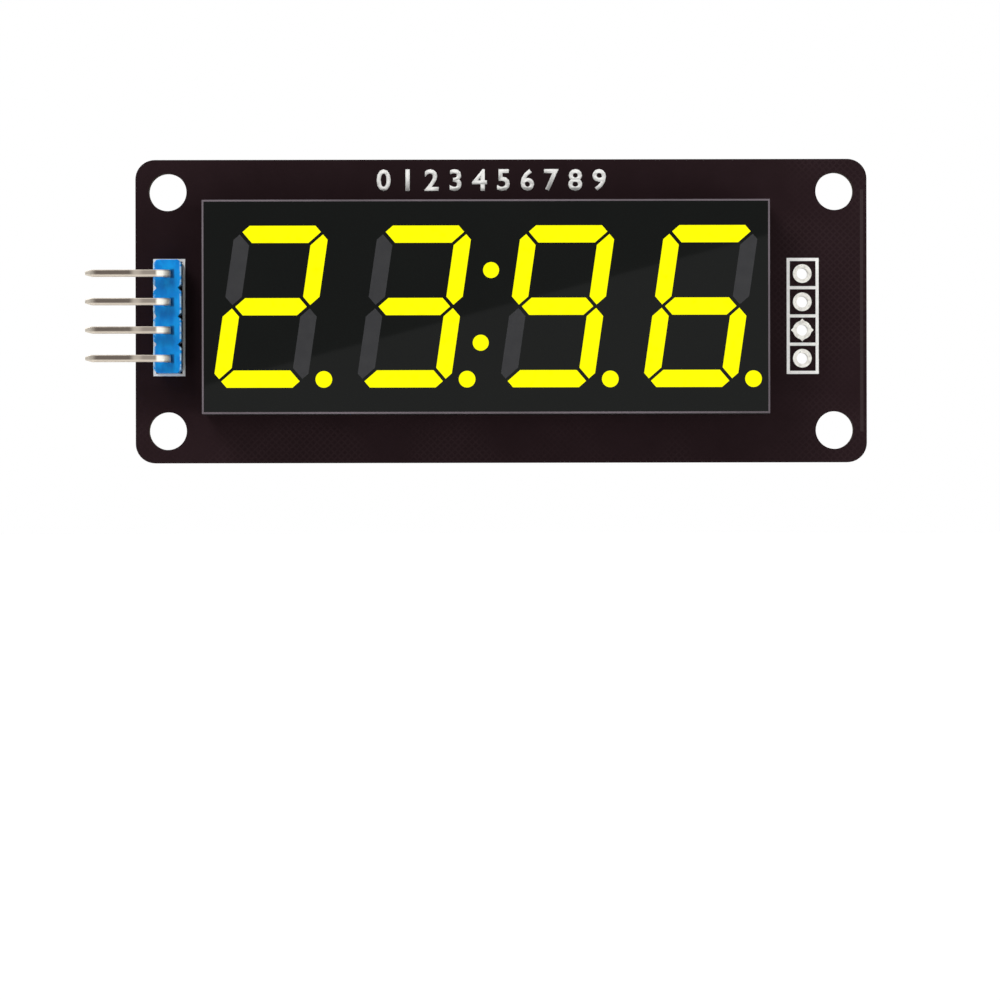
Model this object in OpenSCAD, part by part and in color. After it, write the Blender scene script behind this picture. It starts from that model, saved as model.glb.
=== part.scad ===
// Four-digit seven-segment display module.
// A black circuit board carries the display on its front, a driver chip and chip
// parts on its back, a bent four-pin header at its left end and four open plated
// holes at its right end.
// Origin: middle of the four mounting holes, on the board's back face. X runs
// right and Z up as the digits are read, and the display's face looks along -Y.
// The modules lay it all out flat, as a board is drawn, with Y up as the digits are
// read and Z out of the face, and upright() stands each finished piece up.

/* [Digits] */
// Distance from one digit to the next
digit_pitch = 12.7; // [12:0.1:14]
// Height of a digit over its outer edges
digit_h = 14.36; // [13:0.02:15.5]
// Width of a digit over its outer edges, before it is slanted
digit_w = 8.34; // [7.4:0.02:9]
// Thickness of the level bars of a digit
level_bar = 1.53; // [1.2:0.01:1.8]
// Thickness of the upright bars of a digit
upright_bar = 1.45; // [1.2:0.01:1.8]
// Wall between two neighbouring bars
bar_gap = 0.3; // [0.2:0.01:0.4]
// Length cut off each outer corner of a digit
corner_cut = 1.25; // [1:0.01:1.5]
// Slant of the digits
slant_angle = 8.2; // [0:0.1:12]
// Diameter of a decimal point
point_d = 1.48; // [1.2:0.02:1.7]
// Decimal point's middle beyond the digit's outer edge
point_gap = 0.5; // [0.4:0.02:0.9]
// Decimal point's middle above the digit's lower edge
point_rise = 0.73; // [0.6:0.01:1]
// Diameter of a colon dot
colon_d = 1.42; // [1:0.02:1.7]
// Colon dots' distance above and below the middle of the digits
colon_rise = 3.22; // [2.6:0.02:3.8]
// Numerals shown lit, from left to right
numerals = [2, 3, 9, 6]; // [0:1:9]

/* [Display housing] */
// Housing's end beyond half a digit pitch, taken off so that displays fit in a row
end_trim = 0.2; // [0.1:0.05:0.6]
// Face above and below the digits
face_margin = 2.32; // [2.1:0.01:3]
// Height of the housing above the board
housing_h = 8; // [7.2:0.1:10]
// Bevel round the face
face_bevel = 0.18; // [0.1:0.02:0.5]
// Thickness of the housing's side walls behind the light wells
housing_wall = 1.2; // [0.8:0.05:1.4]
// Depth of the light wells
well_depth = 4.6; // [4:0.1:5.2]
// Width of a light well at its inner end, as a share of its width at the face
well_taper = 0.72; // [0.6:0.01:0.95]
// Thickness of the plate that carries the light-emitting dies
die_plate_t = 1; // [0.6:0.1:1.2]
// Gap between that plate and the housing's walls
die_plate_play = 0.1; // [0.05:0.05:0.3]
// Side of a die
die_side = 0.32; // [0.2:0.02:0.5]
// Height of a die
die_h = 0.12; // [0.08:0.01:0.2]
// Gap between the potting resin and the board
potting_recess = 0.6; // [0.3:0.1:1]

/* [Display pins] */
// Diameter of a display pin
display_pin_d = 0.5; // [0.4:0.02:0.6]
// Distance between neighbouring pins in one row
display_pin_pitch = 2.54; // [2:0.01:2.6]
// Middle of a pin row inside the housing's side
pin_row_inset = 1.88; // [1.7:0.01:2.2]
// Length of display pin that shows behind the board
display_pin_tail = 1.25; // [1:0.05:1.6]
// Gap between a display pin and its hole in the board
display_pin_play = 0.15; // [0.1:0.01:0.2]

/* [Circuit board] */
// Thickness of the board
board_t = 1.6; // [1:0.1:2]
// Board beyond the display at the header's end
left_margin = 6.35; // [6:0.05:8]
// Board beyond the display at the other end
right_margin = 9.05; // [8:0.05:11]
// Board above the display
top_margin = 3.98; // [3.6:0.02:6]
// Board below the display
bottom_margin = 4.32; // [3.6:0.02:6]
// Radius of the board's corners
corner_r = 1.75; // [1:0.05:2.5]
// Diameter of the mounting holes
hole_d = 3.4; // [3:0.1:3.6]
// Middle of a mounting hole from both edges of its corner
hole_inset = 2.9; // [2.6:0.05:3.3]

/* [Header] */
// Distance between neighbouring header pins and between the spare holes
header_pitch = 2.54; // [2.5:0.01:3]
// Side of a square header pin
header_pin_side = 0.64; // [0.5:0.01:0.7]
// Width of the header's plastic body
header_body_w = 2.54; // [2.2:0.01:2.8]
// Height of the header's plastic body
header_body_h = 2.54; // [2:0.01:3]
// Depth of the break-off notches between the header's cells
header_notch = 0.32; // [0.2:0.01:0.6]
// Gap between the header's body and the display
header_gap = 2.08; // [1.9:0.02:2.6]
// Middle of the header and of the spare holes below the middle of the display
header_drop = 0.65; // [0:0.05:1]
// Gap between the plastic body and the bent legs above it
leg_clearance = 0.64; // [0.5:0.02:1.5]
// Radius inside the bend of a header pin
pin_bend_r = 0.32; // [0.2:0.02:0.45]
// Length of leg beyond the board's edge
leg_overhang = 4.3; // [3:0.1:8]
// Length of header pin that shows behind the board
header_pin_tail = 1.45; // [1.2:0.05:1.8]
// Length of the taper at a header pin's ends
tip_l = 0.6; // [0.3:0.05:0.8]
// Side of a header pin's blunt tip
tip_side = 0.3; // [0.2:0.02:0.4]
// Gap between a header pin's corners and its hole in the board
header_pin_play = 0.05; // [0.02:0.01:0.1]

/* [Spare holes] */
// Clear diameter of a spare plated hole
spare_hole_d = 1; // [0.9:0.02:1.1]
// Thickness of the plating inside the hole
plating_t = 0.06; // [0.03:0.01:0.1]
// Diameter of the ring round a spare hole
spare_pad_d = 1.68; // [1.5:0.02:1.9]
// Middle of the spare holes beyond the display
spare_gap = 3.25; // [2.8:0.05:4]
// Half diagonal of the four-pointed pad of the ground hole
ground_pad_reach = 1.02; // [0.9:0.02:1.1]

/* [Solder] */
// Thickness of the copper pads
pad_t = 0.05; // [0.03:0.01:0.1]
// Height of the solder on a pin
joint_h = 0.95; // [0.7:0.05:1.1]
// Diameter of the solder on a display pin
display_joint_d = 1.45; // [1.2:0.05:1.7]
// Diameter of the solder on a header pin
header_joint_d = 1.7; // [1.5:0.05:2]
// Ring of solder left at a joint's top, round the pin
joint_rim = 0.07; // [0.03:0.01:0.15]
// Diameter of the drop-shaped end of a pad
drop_d = 0.54; // [0.5:0.02:0.8]

/* [Driver chip] */
// Distance between neighbouring leads
chip_lead_pitch = 1.27; // [1:0.01:1.3]
// Leads on each side of the driver chip
leads_per_side = 10; // [6:1:10]
// Body beyond the middle of its last lead
driver_end = 0.685; // [0.5:0.005:0.9]
// Width of the driver chip's body
driver_w = 7.5; // [6.8:0.05:7.8]
// Height of the driver chip's body
driver_h = 2.45; // [2.3:0.05:2.6]
// Gap between the driver chip's body and the board
driver_standoff = 0.2; // [0.1:0.02:0.3]
// Draft of the moulded body, from its middle to its top or bottom
driver_draft = 0.24; // [0.1:0.02:0.4]
// Width of a lead
lead_w = 0.45; // [0.35:0.01:0.5]
// Thickness of a lead
lead_t = 0.25; // [0.2:0.01:0.3]
// Reach of a lead beyond the body
lead_reach = 1.4; // [1.25:0.01:1.6]
// Radius inside a lead's bends
lead_bend_r = 0.15; // [0.1:0.01:0.2]
// Level part of a lead beside the body
lead_stub = 0.15; // [0.1:0.01:0.25]
// Width of a lead's solder pad
lead_pad_w = 0.75; // [0.6:0.01:0.85]
// Solder pad beyond a lead's toe
lead_pad_toe = 0.9; // [0.7:0.02:1]
// Solder pad behind a lead's heel
lead_pad_heel = 0.2; // [0.1:0.02:0.3]
// Diameter of the dimple at the first lead
dimple_d = 1; // [0.8:0.05:1.2]
// Depth of that dimple
dimple_depth = 0.15; // [0.05:0.01:0.3]
// Dimple's middle from the body's end
dimple_inset_x = 1.1; // [1:0.05:1.6]
// Dimple's middle from the body's side
dimple_inset_y = 1.55; // [1:0.05:1.8]
// Middle of the driver chip right of the display's middle
driver_shift_x = 0.5; // [0:0.1:1]

/* [Chip parts] */
// Length of a chip part
chip_l = 1.6; // [1.5:0.02:1.7]
// Width of a chip part
chip_w = 0.8; // [0.6:0.02:0.9]
// Height of a chip resistor
resistor_h = 0.45; // [0.35:0.01:0.6]
// Height of a chip capacitor
capacitor_h = 0.8; // [0.6:0.02:0.9]
// Height of the power lamp with its lens
lamp_h = 0.6; // [0.5:0.02:0.8]
// Height of the power lamp's base, and of its metal ends
lamp_base_h = 0.3; // [0.2:0.02:0.4]
// Length of a chip part's metal end
end_cap_l = 0.34; // [0.25:0.01:0.45]
// Thickness of that metal end
end_cap_t = 0.04; // [0.03:0.01:0.06]
// Distance between neighbouring chip parts along X
chip_column_pitch = 2.06; // [1.8:0.02:2.3]
// Distance between neighbouring chip parts along Y
chip_row_pitch = 3.55; // [3.1:0.05:4]
// Middle of the first chip column beyond the driver chip
chip_gap = 3.45; // [2.4:0.05:4]
// Middle of the first chip row above the middle of the driver chip
chip_rise = 4.92; // [4:0.02:5.2]
// Width of a chip part's solder pad
chip_pad_w = 0.95; // [0.8:0.05:1.2]
// Solder beyond a chip part's end
chip_toe = 0.42; // [0.3:0.02:0.6]
// Height of that solder, as a share of the metal end's height
chip_bead_share = 0.8; // [0.4:0.05:1]

/* [Hidden] */
$fn = 48;
digit_count = 4;
display_pins_per_row = 6;
header_pin_count = 4;
// Overshoot of a cut past the face that it opens
cut = 0.1;
// Row of the ground hole among the spare holes, from the top
ground_row = 2;

// Bars lit for each numeral from 0 to 9
numeral_bars = ["abcdef", "bc", "abdeg", "abcdg", "bcfg", "acdfg", "acdefg", "abc", "abcdefg", "abcdfg"];
bar_names = ["a", "b", "c", "d", "e", "f", "g"];

// Display
housing_l = digit_count * digit_pitch - 2 * end_trim;
housing_w = digit_h + 2 * face_margin;
recess_h = housing_h - well_depth;
display_x = (left_margin - right_margin) / 2;
display_y = (bottom_margin - top_margin) / 2;
display_left = display_x - housing_l / 2;
display_right = display_x + housing_l / 2;
face_z = board_t + housing_h;
die_plate_top = board_t + recess_h;
slant = tan(slant_angle);

// Board
board_l = housing_l + left_margin + right_margin;
board_w = housing_w + top_margin + bottom_margin;
mounting_points = [
    for (x = [-1, 1], y = [-1, 1])
        [x * (board_l / 2 - hole_inset), y * (board_w / 2 - hole_inset)]
];

// Pins and spare holes
header_x = display_left - header_gap - header_body_w / 2;
header_y = display_y - header_drop;
header_points = [
    for (i = [0:header_pin_count - 1])
        [header_x, header_y + ((header_pin_count - 1) / 2 - i) * header_pitch]
];
header_hole_d = header_pin_side * sqrt(2) + 2 * header_pin_play;
leg_z = board_t + header_body_h + leg_clearance + header_pin_side / 2;
leg_reach = header_x + board_l / 2 + leg_overhang;
spare_x = display_right + spare_gap;
spare_points = [for (p = header_points) [spare_x, p[1]]];
pin_row_y = housing_w / 2 - pin_row_inset;
display_pin_points = [
    for (side = [1, -1], i = [0:display_pins_per_row - 1])
        [(i - (display_pins_per_row - 1) / 2) * display_pin_pitch, side * pin_row_y]
];

// Outline of a digit's bars, about the digit's middle and upright
half_w = digit_w / 2;
half_h = digit_h / 2;
// Corner line x + y, mitre line x - y and half the wall along either axis
corner_sum = half_w + half_h - corner_cut;
mitre = (half_w - upright_bar) - (half_h - level_bar);
half_wall = bar_gap / sqrt(2);
waist_x = half_w - upright_bar / 2;
waist_y = bar_gap / 2;

// Driver chip and chip parts, in a frame with Z up from the board's back face
driver_l = (leads_per_side - 1) * chip_lead_pitch + 2 * driver_end;
driver_x = display_x + driver_shift_x;
driver_y = display_y;
driver_top = driver_standoff + driver_h;
driver_mid = driver_standoff + driver_h / 2;
lead_toe = driver_w / 2 + lead_reach;
lead_heel = driver_w / 2 + lead_stub + 2 * lead_bend_r + lead_t;
lead_pad_start = lead_heel - lead_pad_heel;
lead_pad_end = lead_toe + lead_pad_toe;
chip_first_x = driver_x - driver_l / 2 - chip_gap;
chip_first_y = driver_y + chip_rise;

// Chip parts: name, column, row, height and colour
chip_parts = [
    ["resistor_1", 0, 0, resistor_h, "#6e3330"],
    ["capacitor_1", 1, 0, capacitor_h, "#8b8560"],
    ["resistor_2", 2, 0, resistor_h, "#4a3d41"],
    ["power_lamp", 3, 0, lamp_h, "#e4efe0"],
    ["resistor_3", 2, 1, resistor_h, "#6d6a5c"],
    ["resistor_4", 3, 1, resistor_h, "#6b6b58"],
    ["capacitor_2", 2, 2, capacitor_h, "#c3a888"],
    ["capacitor_3", 3, 2, capacitor_h, "#c8ad84"]
];

function bar_node(digit, bar) = str("digit_", digit + 1, "_segment_", bar_names[bar]);
function point_node(digit) = str("decimal_point_", digit + 1);
function pin_node(pin) = str("header_pin_", pin + 1);

// Digit outlines

function flip_x(points) = [for (p = points) [-p[0], p[1]]];
function flip_y(points) = [for (p = points) [p[0], -p[1]]];
function slanted(points) = [for (p = points) [p[0] + slant * p[1], p[1]]];
function middle(points) = [
    for (axis = [0, 1]) [for (p = points) p[axis]] * [for (p = points) 1] / len(points)
];

// Right half of the top bar, from its upper edge round its pointed end
function top_bar_end() = [
    [corner_sum - half_h, half_h],
    [(corner_sum + mitre - half_wall) / 2, (corner_sum - mitre + half_wall) / 2],
    [half_h - level_bar + mitre - half_wall, half_h - level_bar]
];

// Right half of the middle bar
function middle_bar_end() = let (tip_x = waist_x + waist_y - 2 * half_wall) [
    [tip_x - level_bar / 2, level_bar / 2],
    [tip_x, 0],
    [tip_x - level_bar / 2, -level_bar / 2]
];

// Upper right bar, from its top tip round by the outer edge
function side_bar() = [
    [(corner_sum + mitre + half_wall) / 2, (corner_sum - mitre - half_wall) / 2],
    [half_w, corner_sum - half_w],
    [half_w, waist_y + upright_bar / 2],
    [waist_x, waist_y],
    [half_w - upright_bar, waist_y + upright_bar / 2],
    [half_w - upright_bar, half_w - upright_bar - mitre - half_wall]
];

function both_ends(right) = concat(right, flip_x([for (i = [len(right) - 1:-1:0]) right[i]]));

function bar_outline(name) = slanted(
    name == "a" ? both_ends(top_bar_end())
    : name == "b" ? side_bar()
    : name == "c" ? flip_y(side_bar())
    : name == "d" ? flip_y(both_ends(top_bar_end()))
    : name == "e" ? flip_x(flip_y(side_bar()))
    : name == "f" ? flip_x(side_bar())
    : both_ends(middle_bar_end())
);

function is_lit(digit, name) = len(search(name, numeral_bars[numerals[digit]])) > 0;

// Places on the face, from the display's middle
function digit_x(digit) = (digit - (digit_count - 1) / 2) * digit_pitch;
function point_place(digit) = [digit_x(digit) + half_w + point_gap, point_rise - half_h];
function colon_place(side) = [side * slant * colon_rise, side * colon_rise];

// Every light well's middle on the face, for the dies behind them
well_middles = concat(
    [
        for (digit = [0:digit_count - 1], name = bar_names)
            [digit_x(digit), 0] + middle(bar_outline(name))
    ],
    [for (digit = [0:digit_count - 1]) point_place(digit)],
    [for (side = [1, -1]) colon_place(side)]
);

// Shared shapes

module rounded_rectangle(size, r) {
    square([size[0] - 2 * r, size[1]], center = true);
    square([size[0], size[1] - 2 * r], center = true);
    for (x = [-1, 1], y = [-1, 1])
        translate([x * (size[0] / 2 - r), y * (size[1] / 2 - r)])
            circle(r);
}

module at_display() {
    translate([display_x, display_y, 0]) children();
}

// Turns the children over, so that their Z runs away from the board's back face
module on_back() {
    mirror([0, 0, 1]) children();
}

module at_driver() {
    on_back() translate([driver_x, driver_y, 0]) children();
}

// Puts the children at a place on the display's face
module on_face(place) {
    translate([place[0], place[1], face_z]) children();
}

// Share of a light well's width at a depth below the face
function well_share(depth) = 1 - (1 - well_taper) * depth / well_depth;

module bar_mouth(outline) {
    polygon([for (p = outline) p - middle(outline)]);
}

// A bar's light well from the face inward, and deeper by a cut's overshoot
module bar_well(outline, overshoot = 0) {
    depth = well_depth + overshoot;
    on_face(middle(outline))
        mirror([0, 0, 1])
            linear_extrude(depth, scale = well_share(depth))
                bar_mouth(outline);
}

module dot_well(place, d, overshoot = 0) {
    depth = well_depth + overshoot;
    on_face(place)
        mirror([0, 0, 1])
            cylinder(depth, r1 = d / 2, r2 = d / 2 * well_share(depth));
}

// What the light wells take out of the housing, through its face and into its recess
module bar_opening(outline) {
    bar_well(outline, cut);
    on_face(middle(outline)) linear_extrude(cut) bar_mouth(outline);
}

module dot_opening(place, d) {
    dot_well(place, d, cut);
    on_face(place) cylinder(cut, d = d);
}

module die_at(place) {
    translate([place[0], place[1], die_plate_top + die_h / 2])
        cube([die_side, die_side, die_h], center = true);
}

// Circuit board

module circuit_board() {
    color("#231a1c")
        linear_extrude(board_t)
            difference() {
                rounded_rectangle([board_l, board_w], corner_r);
                for (p = mounting_points) translate(p) circle(d = hole_d);
                for (p = header_points) translate(p) circle(d = header_hole_d);
                for (p = spare_points) translate(p) circle(d = spare_hole_d + 2 * plating_t);
                translate([display_x, display_y])
                    for (p = display_pin_points)
                        translate(p) circle(d = display_pin_d + 2 * display_pin_play);
            }
}

// One spare hole's plating: a barrel through the board with a ring on each face
module plated_barrel(pointed) {
    difference() {
        union() {
            cylinder(board_t, d = spare_hole_d + 2 * plating_t);
            for (z = [-pad_t, board_t])
                translate([0, 0, z])
                    linear_extrude(pad_t) {
                        circle(d = spare_pad_d);
                        if (pointed) rotate(45) square(ground_pad_reach * sqrt(2), center = true);
                    }
        }
        translate([0, 0, -cut - pad_t]) cylinder(board_t + 2 * (cut + pad_t), d = spare_hole_d);
    }
}

module board_hole_plating() {
    color("#ecedde")
        for (i = [0:len(spare_points) - 1])
            translate(spare_points[i]) plated_barrel(i == ground_row);
}

// Display

// Housing outside: two crossed profiles, each with its upper corners bevelled
module bevelled_profile(width, length) {
    half = width / 2;
    rotate([90, 0, 0])
        linear_extrude(length, center = true)
            polygon([
                [-half, 0],
                [half, 0],
                [half, housing_h - face_bevel],
                [half - face_bevel, housing_h],
                [face_bevel - half, housing_h],
                [-half, housing_h - face_bevel]
            ]);
}

module housing_outside() {
    intersection() {
        bevelled_profile(housing_l, housing_w);
        rotate(90) bevelled_profile(housing_w, housing_l);
    }
}

module recess_outline(play = 0) {
    square(
        [housing_l - 2 * (housing_wall + play), housing_w - 2 * (housing_wall + play)],
        center = true
    );
}

module display_housing() {
    color("#191a19")
        at_display()
            difference() {
                translate([0, 0, board_t]) housing_outside();
                translate([0, 0, board_t - cut]) linear_extrude(recess_h + cut) recess_outline();
                for (digit = [0:digit_count - 1]) {
                    for (name = bar_names)
                        translate([digit_x(digit), 0, 0]) bar_opening(bar_outline(name));
                    dot_opening(point_place(digit), point_d);
                }
                for (side = [1, -1]) dot_opening(colon_place(side), colon_d);
            }
}

module segment(digit, name) {
    color(is_lit(digit, name) ? "#fefd05" : "#3d3d3d")
        at_display()
            translate([digit_x(digit), 0, 0])
                difference() {
                    bar_well(bar_outline(name));
                    die_at(middle(bar_outline(name)));
                }
}

module light_dot(place, d) {
    color("#fefd05")
        at_display()
            difference() {
                dot_well(place, d);
                die_at(place);
            }
}

module light_dies() {
    color("#d9c27a")
        at_display()
            for (place = well_middles) die_at(place);
}

module display_pin_holes() {
    for (p = display_pin_points) translate(p) circle(d = display_pin_d);
}

module die_plate() {
    color("#f0efe8")
        at_display()
            translate([0, 0, die_plate_top - die_plate_t])
                linear_extrude(die_plate_t)
                    difference() {
                        recess_outline(die_plate_play);
                        display_pin_holes();
                    }
}

module potting_resin() {
    color("#cfc8b4")
        at_display()
            translate([0, 0, board_t + potting_recess])
                linear_extrude(recess_h - die_plate_t - potting_recess)
                    difference() {
                        recess_outline();
                        display_pin_holes();
                    }
}

module display_pins() {
    tip = display_pin_d / 4;
    color("#cdc5c1")
        at_display()
            for (p = display_pin_points)
                translate([p[0], p[1], -display_pin_tail]) {
                    cylinder(tip, d1 = display_pin_d / 2, d2 = display_pin_d);
                    translate([0, 0, tip])
                        cylinder(die_plate_top + display_pin_tail - tip, d = display_pin_d);
                }
}

// Header

module header_cell() {
    half_l = header_pitch / 2;
    half_b = header_body_w / 2;
    corner = [
        [half_b, half_l - header_notch],
        [half_b - header_notch, half_l]
    ];
    upper_half = concat(corner, flip_x([corner[1], corner[0]]));
    polygon(concat(upper_half, flip_y([for (i = [3:-1:0]) upper_half[i]])));
}

module header_body() {
    color("#1c82c4")
        translate([0, 0, board_t])
            linear_extrude(header_body_h)
                for (p = header_points)
                    translate(p)
                        difference() {
                            header_cell();
                            square(header_pin_side, center = true);
                        }
}

// A quarter of a ring about the origin, from +X to +Y
module quarter_ring(r_in, r_out) {
    intersection() {
        difference() {
            circle(r_out);
            circle(r_in);
        }
        square(r_out + cut);
    }
}

// Outline of a straight length of pin, from its pointed end at the origin toward +X
module pin_end(side, length) {
    polygon([
        [0, -tip_side / 2],
        [tip_l, -side / 2],
        [length, -side / 2],
        [length, side / 2],
        [tip_l, side / 2],
        [0, tip_side / 2]
    ]);
}

// Side view of a header pin, with Y for height and the pin's foot on X = 0
module header_pin_side_view() {
    half = header_pin_side / 2;
    bend_z = leg_z - half - pin_bend_r;
    bend_x = -half - pin_bend_r;
    translate([0, -header_pin_tail]) rotate(90) pin_end(header_pin_side, header_pin_tail + bend_z);
    translate([-leg_reach, leg_z]) pin_end(header_pin_side, leg_reach + bend_x);
    translate([bend_x, bend_z]) quarter_ring(pin_bend_r, pin_bend_r + header_pin_side);
}

module header_pin(pin) {
    half = header_pin_side / 2;
    color("#b7ab9d")
        translate(header_points[pin])
            intersection() {
                rotate([90, 0, 0])
                    linear_extrude(header_pin_side, center = true) header_pin_side_view();
                translate([-leg_reach, 0, -header_pin_tail])
                    linear_extrude(header_pin_tail + leg_z + header_pin_side)
                        pin_end(header_pin_side, leg_reach + header_pin_side);
                translate([half, 0, -header_pin_tail])
                    rotate([0, -90, 0])
                        linear_extrude(leg_reach + header_pin_side)
                            pin_end(header_pin_side, header_pin_tail + leg_z + header_pin_side);
            }
}

// Solder

// Hollow flank of solder on Y = 0, upright where it meets the pin
module hollow_flank(start, run, height) {
    flank_r = (run * run + height * height) / (2 * run);
    difference() {
        translate([start, 0]) square([run, height]);
        translate([start + flank_r, height]) circle(flank_r);
    }
}

// Solder round a pin, on a round pad with one drop-shaped end
module solder_cone(joint_d, rim_r, drop_angle) {
    rotate_extrude() {
        square([rim_r, joint_h]);
        hollow_flank(rim_r, joint_d / 2 - rim_r, joint_h);
    }
    linear_extrude(pad_t) {
        circle(d = joint_d);
        rotate(drop_angle) translate([joint_d / 2 - drop_d / 6, 0]) circle(d = drop_d);
    }
}

module pin_solder() {
    color("#cdc5c1")
        on_back() {
            translate([display_x, display_y, 0])
                for (i = [0:len(display_pin_points) - 1])
                    translate(display_pin_points[i])
                        difference() {
                            solder_cone(display_joint_d, display_pin_d / 2 + joint_rim, i * 45);
                            translate([0, 0, -cut])
                                cylinder(joint_h + 2 * cut, d = display_pin_d);
                        }
            for (p = header_points)
                translate(p)
                    difference() {
                        solder_cone(header_joint_d, header_pin_side / sqrt(2) + joint_rim, 0);
                        translate([-header_pin_side / 2, -header_pin_side / 2, -cut])
                            cube([header_pin_side, header_pin_side, joint_h + 2 * cut]);
                    }
        }
}

// A bead of solder with a hollow slope, which runs out along X from an upright face
module solder_bead(run, height, width) {
    rotate([90, 0, 0])
        linear_extrude(width, center = true)
            polygon([
                [0, 0],
                [run, 0],
                [run * 0.5, height * 0.2],
                [run * 0.2, height * 0.5],
                [0, height]
            ]);
}

// Driver chip

// Runs the children at each lead, with X out from the chip's middle and Z off the board
module at_leads() {
    at_driver()
        for (side = [1, -1], i = [0:leads_per_side - 1])
            translate([(i - (leads_per_side - 1) / 2) * chip_lead_pitch, 0, 0])
                rotate(side * 90) children();
}

module drafted_profile(width, length) {
    half = width / 2;
    rotate([90, 0, 0])
        linear_extrude(length, center = true)
            polygon([
                [driver_draft - half, driver_standoff],
                [half - driver_draft, driver_standoff],
                [half, driver_mid - lead_t / 2],
                [half, driver_mid + lead_t / 2],
                [half - driver_draft, driver_top],
                [driver_draft - half, driver_top],
                [-half, driver_mid + lead_t / 2],
                [-half, driver_mid - lead_t / 2]
            ]);
}

module driver_chip_body() {
    color("#271f1e")
        at_driver()
            difference() {
                intersection() {
                    drafted_profile(driver_l, driver_w);
                    rotate(90) drafted_profile(driver_w, driver_l);
                }
                translate([
                    driver_l / 2 - dimple_inset_x,
                    dimple_inset_y - driver_w / 2,
                    driver_top - dimple_depth
                ])
                    cylinder(dimple_depth + cut, d = dimple_d);
            }
}

// Side view of a gull-wing lead, from the body's side out to the toe
module lead_side_view() {
    outer_r = lead_bend_r + lead_t;
    bend_x = driver_w / 2 + lead_stub;
    upper_z = driver_mid - lead_t / 2 - lead_bend_r;
    lower_z = pad_t + outer_r;
    translate([driver_w / 2, driver_mid - lead_t / 2]) square([lead_stub, lead_t]);
    translate([bend_x, upper_z]) quarter_ring(lead_bend_r, outer_r);
    translate([bend_x + lead_bend_r, lower_z]) square([lead_t, upper_z - lower_z]);
    translate([lead_heel, lower_z]) rotate(180) quarter_ring(lead_bend_r, outer_r);
    translate([lead_heel, pad_t]) square([lead_toe - lead_heel, lead_t]);
}

module driver_chip_leads() {
    color("#cdc5c1")
        at_leads()
            rotate([90, 0, 0])
                linear_extrude(lead_w, center = true) lead_side_view();
}

// Pad under one lead, with solder at the toe and along both sides of the foot
module lead_solder() {
    side_run = (lead_pad_w - lead_w) / 2;
    straight_start = lead_pad_start + lead_pad_w / 2;
    straight_end = lead_pad_end - lead_pad_w / 2;
    side_l = lead_toe - straight_start;
    linear_extrude(pad_t) {
        for (x = [straight_start, straight_end]) translate([x, 0]) circle(d = lead_pad_w);
        translate([straight_start, -lead_pad_w / 2])
            square([straight_end - straight_start, lead_pad_w]);
    }
    translate([lead_toe, 0, pad_t])
        solder_bead(straight_end - lead_toe, lead_t, lead_w + side_run);
    for (side = [1, -1])
        translate([straight_start + side_l / 2, side * lead_w / 2, pad_t])
            rotate(side * 90) solder_bead(side_run, lead_t, side_l);
}

// Chip parts

module at_chip(part) {
    on_back()
        translate([
            chip_first_x - part[1] * chip_column_pitch,
            chip_first_y - part[2] * chip_row_pitch,
            0
        ])
            children();
}

// Height of a chip part's metal ends, which on the lamp stop below its lens
function end_height(part) = part[0] == "power_lamp" ? lamp_base_h : part[3];

module chip_core(part) {
    translate([0, 0, pad_t + end_height(part) / 2])
        cube(
            [
                chip_w - 2 * end_cap_t,
                chip_l - 2 * end_cap_t,
                end_height(part) - 2 * end_cap_t
            ],
            center = true
        );
}

// Raised middle of a chip part between its metal ends, up to its full height
module chip_middle(part) {
    translate([-chip_w / 2 + end_cap_t, end_cap_l - chip_l / 2, pad_t + end_cap_t])
        cube([chip_w - 2 * end_cap_t, chip_l - 2 * end_cap_l, part[3] - end_cap_t]);
}

module chip_body(part) {
    color(part[4])
        at_chip(part) {
            chip_core(part);
            chip_middle(part);
        }
}

module chip_end_caps() {
    color("#d6d2cb")
        for (part = chip_parts)
            at_chip(part)
                difference() {
                    for (side = [1, -1])
                        translate([
                            0,
                            side * (chip_l - end_cap_l) / 2,
                            pad_t + end_height(part) / 2
                        ])
                            cube([chip_w, end_cap_l, end_height(part)], center = true);
                    chip_core(part);
                }
}

// Pads under both ends of a chip part, each with a bead of solder beyond the end
module chip_solder(part) {
    for (side = [1, -1])
        rotate(side * 90) {
            translate([chip_l / 2 - end_cap_l, -chip_pad_w / 2, 0])
                cube([end_cap_l + chip_toe, chip_pad_w, pad_t]);
            translate([chip_l / 2, 0, pad_t])
                solder_bead(chip_toe, end_height(part) * chip_bead_share, chip_w);
        }
}

module surface_solder() {
    color("#cdc5c1") {
        at_leads() lead_solder();
        for (part = chip_parts) at_chip(part) chip_solder(part);
    }
}

// Stands the flat-laid module up, so that its face looks along -Y
module upright() {
    rotate([90, 0, 0]) children();
}

upright() circuit_board();
upright() board_hole_plating();
upright() pin_solder();
upright() surface_solder();
upright() display_housing();
upright() die_plate();
upright() light_dies();
upright() potting_resin();
upright() display_pins();
for (digit = [0:digit_count - 1], bar = [0:6])
    upright() segment(digit, bar_names[bar]);
for (digit = [0:digit_count - 1])
    upright() light_dot(point_place(digit), point_d);
upright() light_dot(colon_place(1), colon_d);  // colon_upper_dot
upright() light_dot(colon_place(-1), colon_d);  // colon_lower_dot
upright() header_body();
for (pin = [0:header_pin_count - 1])
    upright() header_pin(pin);
upright() driver_chip_body();
upright() driver_chip_leads();
for (part = chip_parts)
    upright() chip_body(part);
upright() chip_end_caps();
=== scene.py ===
import math

import bmesh
import bpy
from mathutils import Matrix, Vector


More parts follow.
